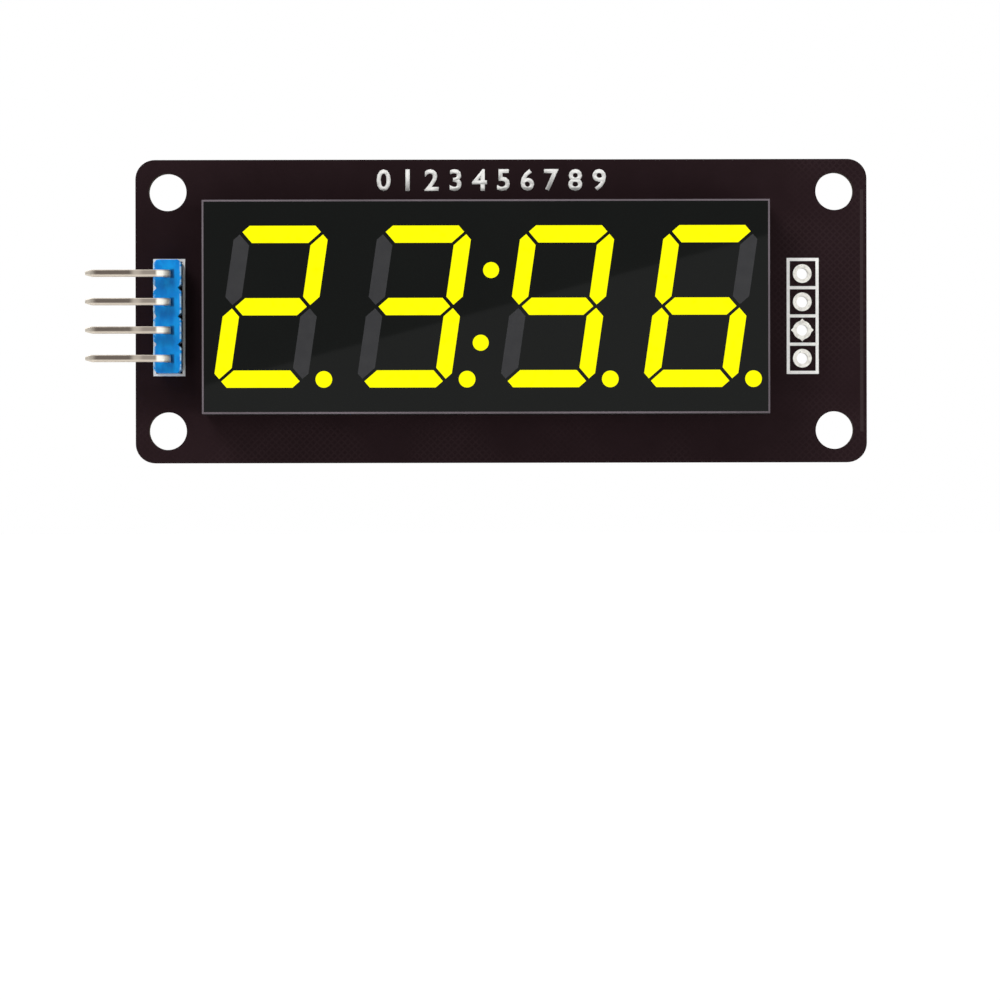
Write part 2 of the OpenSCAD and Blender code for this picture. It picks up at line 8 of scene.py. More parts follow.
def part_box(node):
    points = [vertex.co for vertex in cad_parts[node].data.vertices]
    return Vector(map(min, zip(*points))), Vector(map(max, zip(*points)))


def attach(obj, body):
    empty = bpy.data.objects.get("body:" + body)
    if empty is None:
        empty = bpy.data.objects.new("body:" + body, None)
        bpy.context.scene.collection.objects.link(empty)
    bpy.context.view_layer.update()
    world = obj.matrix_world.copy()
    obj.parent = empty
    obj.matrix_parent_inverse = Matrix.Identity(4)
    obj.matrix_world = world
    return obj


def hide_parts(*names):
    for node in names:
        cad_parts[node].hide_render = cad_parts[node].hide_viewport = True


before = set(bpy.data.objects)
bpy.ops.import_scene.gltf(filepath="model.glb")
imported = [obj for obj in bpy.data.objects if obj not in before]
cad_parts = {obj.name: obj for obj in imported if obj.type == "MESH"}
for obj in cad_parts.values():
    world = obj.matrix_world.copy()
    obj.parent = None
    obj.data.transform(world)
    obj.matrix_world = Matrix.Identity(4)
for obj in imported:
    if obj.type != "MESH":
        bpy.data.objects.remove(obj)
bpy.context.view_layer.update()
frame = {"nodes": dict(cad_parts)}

MM = 0.001
nodes = frame["nodes"]


def middle_and_size(node):
    """Middle and size of a node's box, in millimetres."""
    low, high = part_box(node)
    middle = [(a + b) / 2 / MM for a, b in zip(low, high)]
    return middle, [(b - a) / MM for a, b in zip(low, high)]


# Places in millimetres, as the front reads: X right, Z up, Y from the face to the back
board_middle, BOARD_SIZE = middle_and_size("circuit_board")
FRONT_FACE = board_middle[1] - BOARD_SIZE[1] / 2
BACK_FACE = board_middle[1] + BOARD_SIZE[1] / 2
display_middle, DISPLAY_SIZE = middle_and_size("display_housing")
DISPLAY = (display_middle[0], display_middle[2])
DISPLAY_FACE = display_middle[1] - DISPLAY_SIZE[1] / 2
header_middle, HEADER_SIZE = middle_and_size("header_body")
HEADER = (header_middle[0], header_middle[2])
SPARE_X = middle_and_size("board_hole_plating")[0][0]
driver_middle = middle_and_size("driver_chip_body")[0]
DRIVER = (driver_middle[0], driver_middle[2])
PIN_PITCH = 2.54
HEADER_PINS = 4
DISPLAY_PINS_PER_ROW = 6
DISPLAY_PIN_ROW = 7.62
LEAD_PITCH = 1.27
LEADS_PER_SIDE = 10
HOLE_INSET = 2.9
FIRST_LEAD_DIMPLE = (DRIVER[0] + 5.3, DRIVER[1] - 2.2)
LIT_BARS = {1: "abdeg", 2: "abcdg", 3: "abcdfg", 4: "acdefg"}
CHIP_PARTS = ["resistor_1", "resistor_2", "resistor_3", "resistor_4"]
CHIP_PARTS += ["capacitor_1", "capacitor_2", "capacitor_3", "power_lamp"]


# Finishes


def tone(red, green, blue):
    """A colour as the eye reads it, from 0 to 255, as the linear colour that a shader takes."""
    channels = (c / 255 for c in (red, green, blue))
    return (*(c / 12.92 if c <= 0.04045 else ((c + 0.055) / 1.055) ** 2.4 for c in channels), 1.0)


class Value:
    """A number, colour or place that varies, held by one socket of a node tree."""

    def __init__(self, nodes, socket):
        self.nodes, self.socket = nodes, socket

    def maths(self, operation, *others):
        return self.nodes.maths(operation, self, *others)

    def __add__(self, other):
        return self.maths("ADD", other)

    def __radd__(self, other):
        return self.nodes.maths("ADD", other, self)

    def __sub__(self, other):
        return self.maths("SUBTRACT", other)

    def __rsub__(self, other):
        return self.nodes.maths("SUBTRACT", other, self)

    def __mul__(self, other):
        return self.maths("MULTIPLY", other)

    def __rmul__(self, other):
        return self.nodes.maths("MULTIPLY", other, self)

    def __pow__(self, other):
        return self.maths("POWER", other)

    def __neg__(self):
        return self.nodes.maths("SUBTRACT", 0, self)

    def __abs__(self):
        return self.maths("ABSOLUTE")

    def most(self, other):
        return self.maths("MAXIMUM", other)

    def least(self, other):
        return self.maths("MINIMUM", other)


class Nodes:
    """A node tree under construction."""

    def __init__(self, tree):
        self.tree = tree

    def node(self, kind, settings, sockets, out=0):
        """Adds a node with its settings and its inputs, and returns one of its outputs."""
        made = self.tree.nodes.new(kind)
        for name, setting in settings.items():
            setattr(made, name, setting)
        for key, value in sockets.items():
            socket = next(s for s in made.inputs if s.identifier == key)
            if isinstance(value, Value):
                self.tree.links.new(value.socket, socket)
            else:
                socket.default_value = value
        return Value(self, made.outputs[out])

    def maths(self, operation, *terms):
        sockets = dict(zip(("Value", "Value_001", "Value_002"), terms))
        return self.node("ShaderNodeMath", {"operation": operation}, sockets)


class Finish(Nodes):
    """One material under construction. Places on the piece are in millimetres."""

    def __init__(self, name, rough=0.5, metal=0.0, gloss=0.5):
        self.material = bpy.data.materials.new(name)
        self.material.use_nodes = True
        super().__init__(self.material.node_tree)
        self.shader = self.tree.nodes["Principled BSDF"]
        self.set("Roughness", rough)
        self.set("Metallic", metal)
        self.set("Specular IOR Level", gloss)
        object_place = self.node("ShaderNodeTexCoord", {}, {}, "Object")
        self.place = self.node(
            "ShaderNodeVectorMath",
            {"operation": "SCALE"},
            {"Vector": object_place, "Scale": 1 / MM},
        )
        self.x, self.y, self.z = (
            self.node("ShaderNodeSeparateXYZ", {}, {"Vector": self.place}, axis) for axis in "XYZ"
        )

    def set(self, name, value):
        socket = self.shader.inputs[name]
        if isinstance(value, Value):
            self.tree.links.new(value.socket, socket)
        else:
            socket.default_value = value

    def step(self, value, low, high):
        """Runs smoothly from 0 at low to 1 at high."""
        return self.node(
            "ShaderNodeMapRange",
            {"interpolation_type": "SMOOTHSTEP"},
            {"Value": value, "From Min": low, "From Max": high},
        )

    def band(self, distance, half_width, soft):
        """1 within half_width of where distance is 0, and 0 beyond a soft edge."""
        return 1 - self.step(abs(distance), half_width, half_width + soft)

    def grain(self, size, detail=2.0, stretch=(1, 1, 1), rough=0.5):
        """Noise from 0 to 1, with spots about size millimetres wide, longer where stretched."""
        scale = [1 / (size * s) for s in stretch]
        place = self.node("ShaderNodeMapping", {}, {"Vector": self.place, "Scale": scale})
        sockets = {"Vector": place, "Scale": 1.0, "Detail": detail, "Roughness": rough}
        return self.node("ShaderNodeTexNoise", {}, sockets)

    def blend(self, one, other, share):
        """Mixes two colours: share 0 gives one and 1 gives other."""
        return self.node(
            "ShaderNodeMix",
            {"data_type": "RGBA", "clamp_factor": True},
            {"Factor_Float": share, "A_Color": one, "B_Color": other},
            2,
        )

    def beside_pin(self):
        """How far above the nearest header pin's middle a place lies, in millimetres."""
        along = self.z - (HEADER[1] - HEADER_PINS / 2 * PIN_PITCH)
        return along.maths("FLOORED_MODULO", PIN_PITCH) - PIN_PITCH / 2

    def bump(self, height, depth):
        """Relief: height 1 stands depth millimetres above height 0."""
        sockets = {"Height": height, "Distance": depth * MM, "Strength": 1.0}
        self.set("Normal", self.node("ShaderNodeBump", {}, sockets))


HATCH_PITCH = 0.62
MASK_EDGE = 0.035


def solder_mask():
    """Board: dark mask over hatched copper on both faces, and bare laminate at the edges."""
    finish = Finish("solder_mask", gloss=0.02)
    x, y, z = finish.x, finish.y, finish.z
    front = finish.step(board_middle[1] - y, -0.1, 0.1)
    mottle = finish.grain(3.5, 4.0, rough=0.6)
    # Crossed copper ribs, which show faintly where the mask is thin
    ribs = [
        finish.step((across * (2 * math.pi / HATCH_PITCH)).maths("SINE"), 0.1, 0.95)
        for across in (x + z, x - z)
    ]
    thin = finish.step(finish.grain(9.0, 2.0), 0.35, 0.6)
    low_right = finish.step(x, 22.0, 26.0).most(finish.step(-z, 9.0, 11.0))
    top = finish.step(z, 4.0, 10.0) * (1 - finish.step(abs(x), 24.0, 28.0))
    hatch = ribs[0].most(ribs[1]) * thin * (front * low_right + (1 - front) * top)
    front_colour = finish.blend(tone(29, 18, 20), tone(37, 25, 28), mottle)
    back_colour = finish.blend(tone(12, 4, 5), tone(17, 7, 8), mottle)
    skin = finish.blend(back_colour, front_colour, front)
    skin = finish.blend(skin, tone(96, 78, 80), hatch * 0.045)
    # Laminate at the board's edges and hole walls, between two skins of mask
    edge = finish.band(y - board_middle[1], BOARD_SIZE[1] / 2 - MASK_EDGE, 0.02)
    fibre = finish.grain(0.35, 3.0, (6, 0.25, 6))
    core = finish.blend(tone(38, 31, 25), tone(66, 55, 42), fibre)
    finish.set("Base Color", finish.blend(skin, core, edge))
    finish.set("Roughness", 0.36 + 0.14 * mottle + 0.3 * edge)
    finish.bump(hatch * 0.3 + finish.grain(0.25, 2.0) * 0.25 + edge * fibre, 0.01)
    return finish.material


def ink(name, colour, worn, gloss=0.2):
    """Screen print that has worn a little in places."""
    finish = Finish(name, gloss=gloss)
    speckle = finish.step(finish.grain(0.12, 3.0), 0.42, 0.7)
    patches = finish.grain(1.8, 2.0)
    finish.set("Base Color", finish.blend(colour, worn, speckle * 0.5 * patches))
    finish.set("Roughness", 0.55 + 0.2 * patches)
    finish.bump(finish.grain(0.09, 2.0), 0.004)
    return finish.material


def housing_plastic():
    """Display block: glossy black face, matt walls, and a bevel whose outer rim is painted pale as
    an edge highlight.
    """
    finish = Finish("housing_plastic", gloss=0.11)
    x, y, z = finish.x - DISPLAY[0], finish.y - DISPLAY_FACE, finish.z - DISPLAY[1]
    side = finish.step(y, 0.01, 0.03)
    bevel = side * finish.step(y, 0.22, 0.18)
    to_edge = (DISPLAY_SIZE[0] / 2 - abs(x)).least(DISPLAY_SIZE[2] / 2 - abs(z))
    cloud = finish.grain(6.0, 3.0)
    grain = finish.grain(0.16, 3.0)
    face = finish.blend(tone(3, 5, 4), tone(7, 9, 7), cloud)
    wall = finish.blend(tone(20, 20, 20), tone(30, 29, 29), finish.grain(0.5, 4.0))
    # Painted edge highlight: the bevel's outer rim is coloured pale where light would catch it
    rim_highlight_mask = bevel * finish.step(to_edge, 0.3, 0.2)
    rim_highlight = finish.blend(tone(72, 65, 69), tone(120, 110, 117), finish.grain(3.0, 3.0, (3, 1, 3)))
    finish.set("Base Color", finish.blend(finish.blend(face, wall, side), rim_highlight, rim_highlight_mask))
    finish.set("Roughness", 0.015 + side * (0.3 + 0.2 * grain))
    finish.bump(grain * side, 0.006)
    return finish.material


def lit_resin():
    """Light pipes that are lit, brightest at the face and deeper in colour down the well."""
    finish = Finish("lit_resin", gloss=0.0)
    haze = finish.grain(0.8, 3.0)
    front = finish.step(finish.y, DISPLAY_FACE + 0.8, DISPLAY_FACE + 0.05)
    finish.set("Base Color", finish.blend(tone(70, 66, 2), tone(96, 90, 4), haze))
    glow = finish.blend(tone(250, 244, 0), tone(255, 255, 8), finish.step(haze, 0.2, 0.5))
    finish.set("Emission Color", finish.blend(tone(214, 196, 0), glow, front))
    finish.set("Emission Strength", 0.97)
    finish.set("Roughness", 0.15 + 0.1 * haze)
    return finish.material


def unlit_resin():
    """Light pipes that are dark: smoked resin."""
    finish = Finish("unlit_resin", gloss=0.03)
    haze = finish.grain(1.1, 4.0)
    finish.set("Base Color", finish.blend(tone(48, 48, 50), tone(57, 57, 58), haze))
    finish.set("Roughness", 0.1 + 0.1 * haze)
    finish.bump(finish.grain(0.6, 2.0), 0.002)
    return finish.material


def bare_metal(name, colour, dull, rough, spots, relief, metal=1.0, stretch=(1, 1, 1)):
    """Plated or soldered metal: dull patches in a bright colour, with a fine uneven skin."""
    finish = Finish(name, metal=metal)
    patches = finish.grain(spots, 4.0, stretch, 0.6)
    fine = finish.grain(spots * 0.22, 3.0, stretch)
    finish.set("Base Color", finish.blend(colour, dull, finish.step(patches, 0.4, 0.8)))
    finish.set("Roughness", rough * 0.6 + rough * 0.9 * patches)
    finish.bump(patches * 0.7 + fine * 0.5, relief)
    return finish.material


def pin_plating():
    """Header pins: drawn legs with a painted dark reflection along their middle, painted highlights
    at the tips, and a painted highlight on the bend above the plastic body.
    """
    finish = Finish("pin_plating")
    x, across = finish.x - HEADER[0], finish.beside_pin()
    drawn = finish.grain(0.3, 4.0, (9, 1, 1), 0.6)
    # Painted dark reflection along the middle of each leg, broken up by the drawing marks, stronger
    # past the board and by the bend
    dark_reflection = finish.band(across - 0.08, 0.13, 0.12) * finish.step(drawn, 0.15, 0.4)
    past_board = finish.step(-x, 2.8, 3.4)
    leg = finish.blend(tone(210, 200, 186), tone(172, 161, 148), drawn)
    by_bend = finish.step(-x, 2.6, 2.0)
    dark_reflection = dark_reflection * (0.35 + 0.6 * past_board + 0.3 * by_bend) * finish.step(-x, 0.8, 1.0)
    leg = finish.blend(leg, tone(86, 77, 70), dark_reflection)
    leg = finish.blend(leg, tone(216, 212, 206), finish.step(finish.y, -0.8, 0.2))
    # Painted highlight: the tapered tips are coloured lighter, like a reflection of white
    # surroundings
    tip_highlight = finish.step(-x, 6.2, 7.1)
    leg = finish.blend(leg, tone(222, 214, 200), tip_highlight * 0.6)
    # Painted highlight on the middle of each bend: coloured near white and made far less metallic
    bend_highlight = finish.step(x, -1.05, -0.75) * finish.step(-finish.y, 3.4, 4.2)
    bend_highlight = bend_highlight * (0.35 + 0.65 * finish.band(across, 0.15, 0.12))
    finish.set("Base Color", finish.blend(leg, tone(252, 250, 240), bend_highlight))
    finish.set("Metallic", 0.85 - 0.75 * bend_highlight)
    finish.set("Roughness", 0.28 + 0.2 * drawn)
    finish.bump(drawn, 0.01)
    return finish.material


def header_plastic():
    """Header body: blue plastic with a painted speckled highlight along both long sides."""
    finish = Finish("header_plastic", gloss=0.12)
    x, across = finish.x - HEADER[0], finish.beside_pin()
    to_side = HEADER_SIZE[0] / 2 - abs(x)
    flow = finish.grain(0.7, 3.0, (1, 1, 1.6))
    edge_speckle = finish.grain(0.35, 4.0)
    edge = finish.step(to_side, 0.24, 0.04)
    deep = finish.blend(tone(0, 130, 222), tone(6, 158, 242), finish.step(flow, 0.3, 0.7))
    # Shaded mouth of each pin's hole, open on the side away from the bend
    mouth = finish.band(across, 0.3, 0.2) * finish.band(x - 0.44, 0.08, 0.16)
    deep = finish.blend(deep, tone(2, 58, 108), mouth * 0.85)
    # Painted highlight: speckled pale blue along both long sides
    pale = finish.blend(deep, tone(186, 222, 244), edge * finish.step(edge_speckle, 0.4, 0.55))
    finish.set("Base Color", pale)
    finish.set("Roughness", 0.26 + 0.2 * flow)
    finish.bump(flow * 0.6 + edge_speckle * 0.4, 0.03)
    return finish.material


def chip_epoxy():
    """Driver chip: sandy moulded epoxy with a polished dimple at its first lead."""
    finish = Finish("chip_epoxy", gloss=0.06)
    x, z = finish.x - FIRST_LEAD_DIMPLE[0], finish.z - FIRST_LEAD_DIMPLE[1]
    dimple = 1 - finish.step((x * x + z * z).maths("SQRT"), 0.46, 0.52)
    sand = finish.grain(0.09, 3.0, rough=0.7)
    cloud = finish.grain(2.2, 4.0)
    body = finish.blend(tone(26, 20, 20), tone(39, 32, 31), 0.6 * sand + 0.4 * cloud)
    finish.set("Base Color", finish.blend(body, tone(5, 3, 3), dimple))
    finish.set("Roughness", 0.6 - 0.15 * cloud - 0.25 * dimple)
    finish.bump(sand * (1 - dimple) + cloud * 0.3, 0.012)
    return finish.material


def ceramic(name, colour, fleck, gloss=0.2):
    """Fired ceramic or cast resin with fine flecks."""
    finish = Finish(name, gloss=gloss)
    spots = finish.grain(0.18, 4.0, rough=0.65)
    finish.set("Base Color", finish.blend(colour, fleck, finish.step(spots, 0.4, 0.7)))
    finish.set("Roughness", 0.42 + 0.25 * spots)
    finish.bump(spots, 0.01)
    return finish.material


def lamp_resin():
    """Power lamp: milky cast resin."""
    finish = Finish("lamp_resin", gloss=0.4)
    cloud = finish.grain(0.4, 3.0)
    finish.set("Base Color", finish.blend(tone(212, 222, 208), tone(230, 236, 224), cloud))
    finish.set("Roughness", 0.1 + 0.12 * cloud)
    finish.bump(cloud, 0.01)
    return finish.material


BRIGHT_TIN, DULL_TIN = tone(236, 232, 229), tone(198, 192, 188)
FINISHES = {
    "mask": solder_mask(),
    "ink": ink("white_ink", tone(241, 240, 237), tone(196, 194, 191)),
    "grey_ink": ink("grey_ink", tone(152, 150, 149), tone(128, 126, 125)),
    "yellow_ink": ink("yellow_ink", tone(243, 251, 24), tone(214, 220, 20)),
    "trace": ink("raised_trace", tone(33, 24, 26), tone(24, 16, 18), 0.03),
    "front_trace": ink("raised_front_trace", tone(50, 40, 41), tone(40, 30, 32), 0.03),
    "housing": housing_plastic(),
    "lit": lit_resin(),
    "unlit": unlit_resin(),
    "plating": bare_metal(
        "bright_plating", tone(224, 222, 215), tone(188, 185, 178), 0.3, 0.4, 0.02, metal=0.7
    ),
    "solder": bare_metal("solder", tone(238, 235, 232), DULL_TIN, 0.34, 0.5, 0.02, metal=0.75),
    "pin": pin_plating(),
    "lead": bare_metal(
        "lead_tin", BRIGHT_TIN, DULL_TIN, 0.3, 0.3, 0.01, metal=0.85, stretch=(1, 4, 3)
    ),
    "cap": bare_metal(
        "end_cap_tin", tone(226, 222, 216), tone(176, 170, 164), 0.36, 0.2, 0.015, metal=0.7
    ),
    "header": header_plastic(),
    "epoxy": chip_epoxy(),
    "white_plate": ceramic("white_plate", tone(238, 237, 230), tone(220, 218, 210)),
    "die": bare_metal("die_gold", tone(217, 194, 122), tone(190, 166, 96), 0.3, 0.1, 0.004),
    "potting": ceramic("potting_resin", tone(207, 200, 180), tone(190, 182, 160), 0.45),
    "resistor_1": ceramic("coat_red_brown", tone(106, 60, 56), tone(134, 86, 80)),
    "resistor_2": ceramic("coat_dark", tone(62, 50, 54), tone(92, 78, 82)),
    "resistor_3": ceramic("coat_grey", tone(98, 96, 82), tone(124, 120, 104)),
    "capacitor_1": ceramic("ceramic_olive", tone(156, 148, 120), tone(134, 126, 100)),
    "capacitor_2": ceramic("ceramic_tan", tone(200, 178, 144), tone(178, 154, 120)),
    "lamp": lamp_resin(),
}

NODE_FINISHES = {
    "circuit_board": "mask",
    "board_hole_plating": "plating",
    "pin_solder": "solder",
    "surface_solder": "solder",
    "display_housing": "housing",
    "die_plate": "white_plate",
    "light_dies": "die",
    "potting_resin": "potting",
    "display_pins": "lead",
    "header_body": "header",
    "driver_chip_body": "epoxy",
    "driver_chip_leads": "lead",
    "chip_end_caps": "cap",
    "colon_upper_dot": "lit",
    "colon_lower_dot": "lit",
    "resistor_1": "resistor_1",
    "resistor_2": "resistor_2",
    "resistor_3": "resistor_3",
    "resistor_4": "resistor_3",
    "capacitor_1": "capacitor_1",
    "capacitor_2": "capacitor_2",
    "capacitor_3": "capacitor_2",
    "power_lamp": "lamp",
}
for digit, lit in LIT_BARS.items():
    NODE_FINISHES[f"decimal_point_{digit}"] = "lit"
    for bar in "abcdefg":
        NODE_FINISHES[f"digit_{digit}_segment_{bar}"] = "lit" if bar in lit else "unlit"
for pin in range(1, HEADER_PINS + 1):
    NODE_FINISHES[f"header_pin_{pin}"] = "pin"
for name, finish_name in NODE_FINISHES.items():
    nodes[name].data.materials.clear()
    nodes[name].data.materials.append(FINISHES[finish_name])


# Tools that make pieces

PRINT_THICKNESS = 0.014
TRACE_THICKNESS = 0.01
BOLD = 0.022
CORNER_STEPS = 8
# Edges that turn less than the first, in radians, are dropped, and those that turn more than
# the second are rounded
FLAT_ANGLE, SHARP_ANGLE = 0.02, 0.5


def box_loop(centre, size):
    left, right = centre[0] - size[0] / 2, centre[0] + size[0] / 2
    low, high = centre[1] - size[1] / 2, centre[1] + size[1] / 2
    return [(left, low), (right, low), (right, high), (left, high)]


def circle_loop(centre, radius, count):
    turns = (2 * math.pi * i / count for i in range(count))
    return [(centre[0] + radius * math.cos(a), centre[1] + radius * math.sin(a)) for a in turns]


def rounded_loop(size, radius):
    """Rectangle about the origin with rounded corners."""
    loop = []
    for quarter, (side_u, side_v) in enumerate(((1, 1), (-1, 1), (-1, -1), (1, -1))):
        corner = (side_u * (size[0] / 2 - radius), side_v * (size[1] / 2 - radius))
        for i in range(CORNER_STEPS + 1):
            a = math.pi / 2 * (quarter + i / CORNER_STEPS)
            loop.append((corner[0] + radius * math.cos(a), corner[1] + radius * math.sin(a)))
    return loop


def stroke_loop(points, width):
    """Outline of a line of even width through the points, with mitred turns and square ends."""
    points = [Vector(p) for p in points]
    sides = [[], []]
    for i, point in enumerate(points):
        before = (point - points[i - 1]).normalized() if i else None
        after = (points[i + 1] - point).normalized() if i < len(points) - 1 else None
        before, after = before or after, after or before
        across = Vector((-(before + after).y, (before + after).x)).normalized()
        reach = width / 2 / max(0.3, across.dot(Vector((-before.y, before.x))))
        sides[0].append(tuple(point + across * reach))
        sides[1].append(tuple(point - across * reach))
    return sides[0] + sides[1][::-1]


def mesh_of(data, name, modify=None):
    """The finished mesh of a text, a curve or a mesh, after its Geometry Nodes if it has any."""
    source = bpy.data.objects.new(name, data)
    bpy.context.scene.collection.objects.link(source)
    if modify:
        modify(source)
    shapes = bpy.context.evaluated_depsgraph_get()
    made = bpy.data.meshes.new_from_object(source.evaluated_get(shapes))
    source.modifiers.clear()
    bpy.data.objects.remove(source)
    return made


def word_mesh(text, height):
    """Numerals or signs of that height in millimetres, with their middle at the origin."""
    words = bpy.data.curves.new("numerals", "FONT")
    words.body = text
    words.size = 1.0
    words.resolution_u = 3
    words.offset = BOLD
    made = mesh_of(words, "numerals")
    corners = [v.co for v in made.vertices]
    low = Vector((min(c.x for c in corners), min(c.y for c in corners), 0))
    high = Vector((max(c.x for c in corners), max(c.y for c in corners), 0))
    made.transform(Matrix.Translation(-(low + high) / 2))
    made.transform(Matrix.Scale(height / (high.y - low.y), 4))
    return made


def finished(meshes, name, material, replaced=()):
    """Joins finished meshes as one piece of the object, in metres, at the origin."""
    built = bmesh.new()
    for mesh in meshes:
        built.from_mesh(mesh)
    bmesh.ops.recalc_face_normals(built, faces=list(built.faces))
    joined = bpy.data.meshes.new(name)
    built.to_mesh(joined)
    built.free()
    piece = bpy.data.objects.new(name, joined)
    bpy.context.scene.collection.objects.link(piece)
    joined.materials.append(material)
    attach(piece, "root")
    if replaced:
        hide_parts(*replaced)
    return piece


def on_side(shape, front):
    """Turns a flat shape, drawn as one side is read in millimetres, onto that side of the board."""
    if front:
        place = Matrix(((1, 0, 0, 0), (0, 0, -1, FRONT_FACE), (0, 1, 0, 0), (0, 0, 0, 1)))
    else:
        place = Matrix(((-1, 0, 0, 0), (0, 0, 1, BACK_FACE), (0, 1, 0, 0), (0, 0, 0, 1)))
    shape.transform(place)
    shape.transform(Matrix.Scale(MM, 4))
    return shape


def printed(name, material, front, loops=(), words=(), thickness=PRINT_THICKNESS, more=()):
    """A flat print on the board. Loops inside others are gaps. Words are (text, height, middle)."""
    built = bmesh.new()
    if loops:
        outline = bpy.data.curves.new(name, "CURVE")
        outline.dimensions = "2D"
        outline.fill_mode = "BOTH"
        for loop in loops:
            line = outline.splines.new("POLY")
            line.points.add(len(loop) - 1)
            line.use_cyclic_u = True
            for point, (u, v) in zip(line.points, loop):
                point.co = (u, v, 0, 1)
        built.from_mesh(mesh_of(outline, name))
    for text, height, middle in words:
        mesh = word_mesh(text, height)
        mesh.transform(Matrix.Translation((*middle, 0)))
        built.from_mesh(mesh)
    bmesh.ops.remove_doubles(built, verts=built.verts, dist=1e-5)
    lifted = bmesh.ops.extrude_face_region(built, geom=list(built.faces))
    risen = [part for part in lifted["geom"] if isinstance(part, bmesh.types.BMVert)]
    bmesh.ops.translate(built, verts=risen, vec=(0, 0, thickness))
    mesh = bpy.data.meshes.new(name)
    built.to_mesh(mesh)
    built.free()
    return finished([on_side(shape, front) for shape in (mesh, *more)], name, material)


def repeating_tree(name, sizes, form):
    """Geometry Nodes that put one form at every point. Sizes are the named inputs of the form."""
    tree = bpy.data.node_groups.new(name, "GeometryNodeTree")
    tree.interface.new_socket("Places", in_out="INPUT", socket_type="NodeSocketGeometry")
    for size in sizes:
        tree.interface.new_socket(size, in_out="INPUT", socket_type="NodeSocketFloat")
    tree.interface.new_socket("Finish", in_out="INPUT", socket_type="NodeSocketMaterial")
    tree.interface.new_socket("Shape", in_out="OUTPUT", socket_type="NodeSocketGeometry")
    nodes_of = Nodes(tree)
    given = tree.nodes.new("NodeGroupInput")
    given = {socket.name: Value(nodes_of, socket) for socket in given.outputs if socket.name}
    shape, scale = form(nodes_of, given)
    spots = {"Points": given["Places"], "Instance": shape, "Scale": scale}
    spread = nodes_of.node("GeometryNodeInstanceOnPoints", {}, spots)
    real = nodes_of.node("GeometryNodeRealizeInstances", {}, {"Geometry": spread})
    coat = {"Geometry": real, "Material": given["Finish"]}
    done = nodes_of.node("GeometryNodeSetMaterial", {}, coat)
    output = tree.nodes.new("NodeGroupOutput")
    tree.links.new(done.socket, output.inputs[0])
    return tree


def solder_drop(nodes_of, given):
    """A round form that narrows from foot to top, hollow or domed, each a little different."""
    drum = nodes_of.node(
        "GeometryNodeMeshCylinder",
        {"fill_type": "TRIANGLE_FAN"},
        {"Vertices": 28, "Side Segments": 12, "Radius": 1.0, "Depth": 1.0},
    )
    place = nodes_of.node("GeometryNodeInputPosition", {}, {})
    x, y, z = (
        nodes_of.node("ShaderNodeSeparateXYZ", {}, {"Vector": place}, axis) for axis in "XYZ"
    )
    rise = (z + 0.5).most(0.0)
    flank = (1 - rise ** given["Rise power"]).most(0.0) ** given["Flank power"]
    share = given["Top share"] + (1 - given["Top share"]) * flank
    turned = nodes_of.node("ShaderNodeCombineXYZ", {}, {"X": x * share, "Y": y * share, "Z": rise})
    shape = nodes_of.node("GeometryNodeSetPosition", {}, {"Geometry": drum, "Position": turned})
    uneven = [
        nodes_of.node(
            "FunctionNodeRandomValue", {}, {"Min_001": 0.93, "Max_001": 1.05, "Seed": seed}, 1
        )
        for seed in (3, 8, 21)
    ]
    scale = nodes_of.node(
        "ShaderNodeCombineXYZ",
        {},
        {
            "X": given["Width"] * 0.5 * uneven[0],
            "Y": given["Length"] * 0.5 * uneven[1],
            "Z": given["Height"] * uneven[2],
        },
    )
    return shape, scale


def ink_ring(nodes_of, given):
    """A flat printed ring."""
    path = nodes_of.node(
        "GeometryNodeCurvePrimitiveCircle",
        {},
        {"Resolution": 72, "Radius": given["Diameter"] * 0.5},
    )
    section = nodes_of.node(
        "GeometryNodeCurvePrimitiveQuadrilateral",
        {},
        {"Width": given["Line"], "Height": given["Thickness"]},
    )
    shape = nodes_of.node("GeometryNodeCurveToMesh", {}, {"Curve": path, "Profile Curve": section})
    return shape, nodes_of.node("ShaderNodeCombineXYZ", {}, {"X": 1.0, "Y": 1.0, "Z": 1.0})


DROP_TREE = repeating_tree(
    "solder_drops",
    ["Width", "Length", "Height", "Top share", "Rise power", "Flank power"],
    solder_drop,
)
RING_TREE = repeating_tree("ink_rings", ["Diameter", "Line", "Thickness"], ink_ring)


def repeated(tree, points, material, **sizes):
    """The tree's form at every point (u, v), as one mesh with its foot at height 0."""
    places = bpy.data.meshes.new("places")
    places.from_pydata([(u, v, 0) for u, v in points], [], [])
    given = {name.replace("_", " ").capitalize(): size for name, size in sizes.items()}
    given["Finish"] = material

    def modify(source):
        modifier = source.modifiers.new("repeat", "NODES")
        modifier.node_group = tree
        for socket in tree.interface.items_tree:
            if socket.name in given:
                modifier[socket.identifier] = given[socket.name]

    return mesh_of(places, "places", modify)


def softened(node, name, radius, finish_name):
    """A copy of a node whose sharp edges are rounded as they are on the real piece."""
    built = bmesh.new()
    built.from_mesh(nodes[node].data)
    bmesh.ops.remove_doubles(built, verts=built.verts, dist=1e-7)
    bmesh.ops.dissolve_limit(built, angle_limit=FLAT_ANGLE, verts=built.verts, edges=built.edges)
    sharp = [
        edge for edge in built.edges if edge.is_manifold and edge.calc_face_angle() > SHARP_ANGLE
    ]
    bmesh.ops.bevel(
        built,
        geom=sharp,
        offset=radius * MM,
        segments=2,
        profile=0.5,
        affect="EDGES",
        clamp_overlap=True,
    )
    mesh = bpy.data.meshes.new(name)
    built.to_mesh(mesh)
    built.free()
    return finished([mesh], name, FINISHES[finish_name], (node,))


def centred(index, count, pitch):
    """Place of one of a count of things in an even row whose middle is 0."""
    return (index - (count - 1) / 2) * pitch


